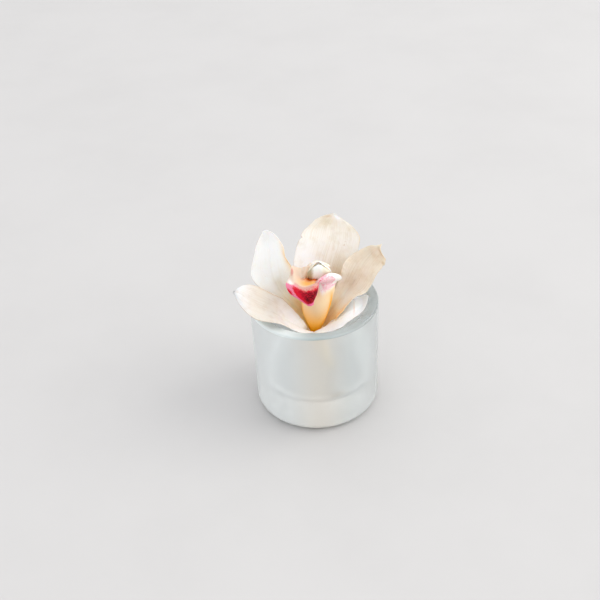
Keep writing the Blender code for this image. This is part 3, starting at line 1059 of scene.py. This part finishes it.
@dataclass
class Tumbler(Piece):
    """The thick-walled glass, frosted outside and polished inside and on its rim."""

    radius: float = 32.0 * MM
    foot_radius: float = 31.5 * MM
    height: float = 60.0 * MM
    wall: float = 5.0 * MM
    base: float = 16.0 * MM
    foot_round: float = 5.5 * MM
    floor_round: float = 5.0 * MM
    rim_round: float = 1.2 * MM
    sides: int = 160

    def build(self) -> bpy.types.Object:
        """Build and dress the glass.

        Returns:
            Its object.
        """
        inner = self.radius - self.wall
        foot, rim, floor = self.foot_round, self.rim_round, self.floor_round
        profile = [(0.0, 0.0)]
        profile += arc((self.foot_radius - foot, foot), foot, -90.0, 0.0, 12)
        profile += arc((self.radius - rim, self.height - rim), rim, 0.0, 90.0, 8)
        profile += arc((inner + rim, self.height - rim), rim, 90.0, 180.0, 8)
        profile += arc((inner - floor, self.base + floor), floor, 0.0, -90.0, 14)
        profile += [(0.0, self.base)]
        shape = turned(profile, self.sides)
        for face in shape.faces:
            spot = face.calc_center_median()
            reach = math.hypot(spot.x, spot.y)
            outside = reach > self.radius - self.wall / 2.0 or face.normal.z < -0.5
            part = Part.FROSTED if outside else Part.POLISHED
            if spot.z > self.height - rim:
                part = Part.RIM
            face.material_index = part.value
        finishes = {
            # Painted light: the frosted wall is milkier on its left, and its upright band is a painted warm
            # image of the stem inside
            Part.FROSTED: GlassFinish(
                "frosted_glass", tone("faffff"), (0.20, 0.26), 3000.0, 0.05 * MM, (0.36, 0.64),
                band_strength=0.80,
            ),
            Part.POLISHED: GlassFinish(
                "polished_glass", tone("fcffff"), (0.04, 0.10), 300.0, 0.01 * MM, (0.92, 0.92),
            ),
            # Painted light and shade: the rim is milkier on its left, and its upright band is a grey painted
            # shade
            Part.RIM: GlassFinish(
                "rim_glass", tone("e9f1f0"), (0.12, 0.22), 300.0, 0.01 * MM, (0.02, 0.76),
                band_strength=0.9, painted_band_colour=tone("bccaca"),
            ),
        }
        return self.publish(shape, [finishes[part].build() for part in Part])


@dataclass
class Water(Piece):
    """The water that the stem stands in, with its surface creeping up the glass."""

    radius: float = 27.0 * MM
    base: float = 16.0 * MM
    floor_round: float = 5.0 * MM
    level: float = 22.0 * MM
    creep: float = 0.1 * MM
    creep_width: float = 1.5 * MM
    creep_power: float = 2.5
    creep_steps: int = 8
    overlap: float = -0.05 * MM
    sides: int = 128

    def build(self) -> bpy.types.Object:
        """Build and dress the water.

        Returns:
            Its object.
        """
        side = self.radius + self.overlap
        floor = self.floor_round
        profile = [(0.0, self.base - self.overlap)]
        profile += arc((self.radius - floor, self.base + floor), floor + self.overlap, -90.0, 0.0, 12)
        for share in np.linspace(0.0, 1.0, self.creep_steps):
            rise = self.creep * (1.0 - share) ** self.creep_power
            profile.append((side - self.creep_width * share, self.level + rise))
        profile += [(0.0, self.level)]
        clear = GlassFinish("clear_water", tone("ffffff"), (0.0, 0.01), 160.0, 0.02 * MM, ior=1.333)
        return self.publish(turned(profile, self.sides), [clear.build()])


@dataclass
class Tube(Piece):
    """A fleshy piece of oval section along a smooth path, with ribs that run along it."""

    path: tuple[Point, ...] = ()
    widths: tuple[float, ...] = ()
    depths: tuple[float, ...] = ()
    finish: FleshFinish | None = None
    sides: int = 64
    rings: int = 60
    ribs: int = 0
    rib_depth: float = 0.0
    twist: float = 0.0
    end_inset: float = 0.35 * MM
    end_bulge: float = 0.12 * MM

    def section(self, angle: float, place: float) -> float:
        """Radius of the section at an angle, as a share of the plain oval."""
        return 1.0 + self.rib_depth * math.cos(self.ribs * (angle + self.twist * place))

    def build(self) -> bpy.types.Object:
        """Build and dress the tube.

        Returns:
            Its object.
        """
        path = np.asarray(self.path, dtype=float) * MM
        knots = chord_knots(path)
        places = np.linspace(0.0, 1.0, self.rings)
        centres = spline(knots, path, places)
        halves = spline(knots, np.stack([self.widths, self.depths], axis=1) * MM, places)
        tangents = np.gradient(centres, axis=0)
        shape = bmesh.new()
        loops = []
        for place, centre, half, tangent in zip(places, centres, halves, tangents):
            turn = Vector(tangent).to_track_quat("Z", "Y").to_matrix().to_4x4()
            turn.translation = Vector(centre)
            ring = bmesh.ops.create_circle(shape, cap_ends=False, radius=1.0, segments=self.sides)["verts"]
            for corner in ring:
                reach = self.section(math.atan2(corner.co.y, corner.co.x), place)
                corner.co.x *= half[0] * reach
                corner.co.y *= half[1] * reach
            bmesh.ops.transform(shape, matrix=turn, verts=ring)
            edges = {edge for corner in ring for edge in corner.link_edges}
            loops.append(sorted(edges, key=lambda edge: edge.index))
        for lower, upper in zip(loops, loops[1:]):
            bmesh.ops.bridge_loops(shape, edges=lower + upper)
        caps = bmesh.ops.contextual_create(shape, geom=loops[0])["faces"]
        caps += bmesh.ops.contextual_create(shape, geom=loops[-1])["faces"]
        bmesh.ops.recalc_face_normals(shape, faces=shape.faces[:])
        bmesh.ops.inset_region(shape, faces=caps, thickness=self.end_inset, depth=self.end_bulge)
        return self.publish(shape, [self.finish.build()])


@dataclass
class AntherCap(Piece):
    """The pale cap at the column's end, a little tent with a groove between its two halves."""

    centre: Point = (2.9, -4.7, 79.4)
    radii: Point = (5.4, 1.9, 4.1)
    groove: float = 0.10
    groove_width: float = 0.16
    beak: float = 0.10
    taper: float = 0.60
    lean: float = 0.30

    def build(self) -> bpy.types.Object:
        """Build and dress the cap.

        Returns:
            Its object.
        """
        shape = bmesh.new()
        bmesh.ops.create_uvsphere(shape, u_segments=64, v_segments=40, radius=1.0)
        for corner in shape.verts:
            spot = corner.co.copy()
            front = max(0.0, -spot.y)
            dip = self.groove * math.exp(-((spot.x / self.groove_width) ** 2)) * front
            swell = self.beak * max(0.0, -spot.z) * front
            scale = 1.0 - dip + swell
            spot.x *= 1.0 - self.taper * max(0.0, spot.z)
            spot.x -= self.lean * max(0.0, -spot.z)
            corner.co = Vector([(c + r * p * scale) * MM for c, r, p in zip(self.centre, self.radii, spot)])
        return self.publish(shape, [CapFinish().build()])


@dataclass
class Studio:
    """Camera, lights and table: a bright room with a large soft window on the right."""

    camera_place: Point = (0.0, -405.05, 346.26)
    view_line: Point = (-0.013942, 0.816572, -0.577075)
    roll: float = -3.1
    lens: float = 60.0
    sensor: float = 36.0
    clip: Span = (0.01, 60.0)
    room_tint: Colour = tone("fdfdff")
    window_tint: Colour = tone("fffdf8")
    room_light: float = 1.11
    window_watts: float = 28.0
    window_size: float = 2.0
    window_distance: float = 2.5
    window_azimuth: float = 2.0
    window_height: float = 36.0
    floor_size: float = 12.0
    light_bounces: int = 32
    floor_drop: float = 0.05 * MM

    def add_camera(self) -> None:
        """Place the camera where the photograph was taken from."""
        view = Vector(self.view_line).normalized()
        side = view.cross(Vector((0.0, 0.0, 1.0))).normalized()
        upward = side.cross(view)
        turn = math.radians(self.roll)
        right = side * math.cos(turn) + upward * math.sin(turn)
        top = upward * math.cos(turn) - side * math.sin(turn)
        data = bpy.data.cameras.new("camera")
        data.lens = self.lens
        data.sensor_width = self.sensor
        data.clip_start, data.clip_end = self.clip
        camera = bpy.data.objects.new("camera", data)
        frame_axes = Matrix((right, top, -view)).transposed().to_4x4()
        frame_axes.translation = Vector(self.camera_place) * MM
        camera.matrix_world = frame_axes
        bpy.context.scene.collection.objects.link(camera)
        bpy.context.scene.camera = camera

    def add_lights(self) -> None:
        """Light the room evenly, with one large soft window low on the right."""
        world = bpy.data.worlds.new("room")
        world.use_nodes = True
        background = world.node_tree.nodes["Background"]
        background.inputs["Color"].default_value = (*self.room_tint, 1.0)
        background.inputs["Strength"].default_value = self.room_light
        bpy.context.scene.world = world
        data = bpy.data.lights.new("window", "AREA")
        data.shape = "SQUARE"
        data.size = self.window_size
        data.energy = self.window_watts
        data.color = self.window_tint
        azimuth, height = math.radians(self.window_azimuth), math.radians(self.window_height)
        towards = Vector(
            (math.cos(height) * math.cos(azimuth), math.cos(height) * math.sin(azimuth), math.sin(height))
        )
        window = bpy.data.objects.new("window", data)
        window.location = towards * self.window_distance
        window.rotation_euler = towards.to_track_quat("Z", "Y").to_euler()
        bpy.context.scene.collection.objects.link(window)

    def add_floor(self) -> None:
        """Lay the pale table top."""
        shape = bmesh.new()
        bmesh.ops.create_grid(shape, x_segments=1, y_segments=1, size=self.floor_size / 2.0)
        bmesh.ops.translate(shape, verts=shape.verts[:], vec=(0.0, 0.0, -self.floor_drop))
        mesh = bpy.data.meshes.new("table_top")
        shape.to_mesh(mesh)
        shape.free()
        mesh.materials.append(FloorFinish().build())
        table = bpy.data.objects.new("table_top", mesh)
        bpy.context.scene.collection.objects.link(table)

    def build(self) -> None:
        """Set the whole stage, with plain colours in the picture."""
        bpy.context.scene.view_settings.view_transform = "Standard"
        paths = bpy.context.scene.cycles
        paths.max_bounces = self.light_bounces
        paths.glossy_bounces = self.light_bounces
        paths.transmission_bounces = self.light_bounces
        self.add_camera()
        self.add_lights()
        self.add_floor()


def tepals() -> list[Blade]:
    """The five tepals, each with its own colours and quirks.

    Returns:
        The blades, ready to be built.
    """
    return [
        Blade(
            "dorsal_sepal", "sepal_cream", stations=DORSAL_SEPAL, wave_start=0.4, seed=2.0,
            finish=TepalFinish(
                "sepal_back", tone("ecdfc2"), tone("f0ece6"), tone("efe8dc"), tone("ddcfb8"),
                pale=tone("f8fcff"), blush_and_shade=tone("cfc3a2"), vein_depth=0.30, seed=1.0,
            ),
            nicks=(Nick(-1, 0.80, 0.012, 1.1), Nick(-1, 0.90, 0.02, 0.5), Nick(1, 0.93, 0.02, -0.4)),
            # The first pale patch is painted light on the lower left; the first blush patch, olive, is
            # painted shade on the lower right
            pales=(Patch(0.57, -0.76, 0.13, 0.40, 1.5), Patch(0.975, 0.45, 0.025, 0.35, 1.2)),
            blush_and_shade_patches=(Patch(0.48, 0.55, 0.13, 0.32, 0.6), Patch(0.92, -0.30, 0.03, 0.30, 0.3)),
            bruise_and_shade_patches=(Patch(0.97, -0.55, 0.012, 0.30, 0.5), Patch(0.725, 0.53, 0.005, 0.02, 0.9)),
        ),
        Blade(
            "lateral_sepal_left", "sepal_cream", stations=LATERAL_SEPAL_LEFT, wave_start=1.3,
            wrinkle=0.7 * MM, ridge=0.09 * MM, seed=5.0,
            finish=TepalFinish(
                "sepal_left", tone("fefcf6"), tone("dfd9d0"), tone("e2e4e8"), tone("dccab8"),
                blush_and_shade=tone("c9a478"), edge=tone("b98452"), claw_end=0.52, seed=4.0,
            ),
            nicks=(Nick(-1, 0.25, 0.15, -3.4),),
            # The pale patch is the lower part's own whitish colour, and partly painted light over its shade
            pales=(Patch(0.34, 0.0, 0.17, 1.2, 1.3),),
            blush_and_shade_patches=(Patch(0.45, 1.0, 0.30, 0.05, 0.8),),
        ),
        Blade(
            "lateral_sepal_right", "sepal_cream", stations=LATERAL_SEPAL_RIGHT, wave_start=2.1, seed=8.0,
            finish=TepalFinish(
                "sepal_right", tone("f0f4f2"), tone("fcffff"), tone("fcffff"), tone("fafcff"),
                blush_and_shade=tone("efc4b0"), glow=0.40, vein_depth=0.10, seed=7.0,
            ),
            nicks=(
                Nick(-1, 0.70, 0.02, 0.8),
                Nick(-1, 0.40, 0.17, -3.4),
                Nick(-1, 0.27, 0.06, -1.2),
                Nick(1, 0.38, 0.18, -3.4),
            ),
            blush_and_shade_patches=(Patch(0.717, -0.25, 0.012, 0.60, 0.6),),
        ),
        Blade(
            "petal_left", "petal_cream", stations=PETAL_LEFT, wave_start=0.9, seed=11.0,
            finish=TepalFinish(
                "petal_white", tone("ffd68c"), tone("fcfefc"), tone("fcfefc"), tone("f4eee4"),
                blush_and_shade=tone("ffcc90"), bruise_and_shade=tone("cbbca2"), claw_end=0.56, vein_depth=0.25, seed=10.0,
            ),
            curls=(Curl(1, 0.70, 0.16, 2.0, 0.62),),
            nicks=(Nick(1, 0.88, 0.05, -0.9),),
            blush_and_shade_patches=(Patch(0.22, 0.70, 0.16, 0.45, 0.9), Patch(0.74, 1.0, 0.16, 0.26, 1.0)),
            # The bruise patch, grey-beige, is painted shade cast by the lip on the lower right
            bruise_and_shade_patches=(Patch(0.49, 0.28, 0.10, 0.42, 0.6),),
        ),
        Blade(
            "petal_right", "petal_cream", stations=PETAL_RIGHT, wave_start=1.7, crisp=0.35 * MM, seed=14.0,
            finish=TepalFinish(
                "petal_beige", tone("ffdfa0"), tone("e9ded0"), tone("e6dccd"), tone("d6c4a8"),
                blush_and_shade=tone("ffc272"), bruise_and_shade=tone("b3946a"), claw_end=0.50, glow=0.45, seed=13.0,
            ),
            nicks=(Nick(1, 0.90, 0.02, 0.7), Nick(-1, 0.97, 0.015, 0.5), Nick(1, 0.24, 0.10, -1.3)),
            dents=(Patch(0.165, 1.0, 0.095, 0.50, -3.3),),
            # The pale patch is painted light on the lower part, which faces away from the window
            pales=(Patch(0.40, 0.35, 0.09, 0.5, 0.5),),
            blush_and_shade_patches=(Patch(0.31, 0.95, 0.09, 0.20, 0.8), Patch(0.10, 0.0, 0.10, 1.0, 0.25)),
            bruise_and_shade_patches=(
                # Painted shade in the middle; the other two are the browned tip
                Patch(0.54, -0.08, 0.10, 0.40, 0.30),
                Patch(0.99, 0.2, 0.015, 0.8, 0.6),
                Patch(0.93, 0.9, 0.02, 0.12, 0.7),
            ),
        ),
    ]


def fleshy_pieces() -> list[Piece]:
    """The stem, the column with its hood, and its anther cap.

    Returns:
        The pieces, ready to be built.
    """
    stem = FleshFinish(
        "stem_skin", tone("efd9a6"), tone("f6dcb0"), tone("e6c992"), heights=(20.0 * MM, 42.0 * MM),
    )
    column = FleshFinish(
        "column_skin", tone("ee8420"), tone("f8f3ea"), tone("efd0a0"), heights=(77.0 * MM, 81.0 * MM),
    )
    hood = TepalFinish(
        "hood_skin", tone("f8f2e8"), tone("fbf6ee"), tone("f8f1e4"), tone("efe6d6"),
        pale=tone("fefefe"), blush_and_shade=tone("b49a70"), bruise_and_shade=tone("f0d2a4"), claw_end=0.3, glow=0.6, seed=17.0,
    )
    return [
        Tube(
            "stem", "stem_green", path=STEM_PATH, widths=STEM_RADII, depths=STEM_RADII,
            finish=stem, ribs=6, rib_depth=0.05, twist=0.9,
        ),
        Tube(
            "column", "column_cream", path=COLUMN_PATH, widths=COLUMN_WIDTHS, depths=COLUMN_DEPTHS,
            finish=column,
        ),
        Blade(
            "column", "column_cream", "hood", stations=HOOD, finish=hood, rows=24, columns=64,
            thickness=0.3 * MM, thin_share=0.9,
            wave=0.0, keel=0.0, wrinkle=0.10 * MM, crisp=0.10 * MM, ragged=0.0, seed=19.0,
            pales=(Patch(0.95, 0.22, 0.22, 0.22),),
            blush_and_shade_patches=(Patch(1.0, -0.35, 0.07, 0.36, 0.9), Patch(1.0, 0.75, 0.07, 0.25, 0.6)),
            bruise_and_shade_patches=(Patch(0.7, -0.85, 0.9, 0.42, 1.3),),
        ),
        AntherCap("anther_cap", "anther_white"),
    ]


def main() -> None:
    """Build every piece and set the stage."""
    logging.basicConfig(level=logging.INFO, format="%(name)s: %(message)s")
    pieces: list[Piece] = [
        Tumbler("vase", "frosted_glass"),
        Water("water", "water"),
        *fleshy_pieces(),
        *tepals(),
        Lip("lip", "lip_crimson", stations=LIP, wave_start=0.5, dents=(Patch(0.45, 0.72, 0.06, 0.17, 2.0),)),
    ]
    for piece in pieces:
        made = piece.build()
        LOG.info("%s: %d faces", made.name, len(made.data.polygons))
    Studio().build()


if __name__ == "__main__":
    main()
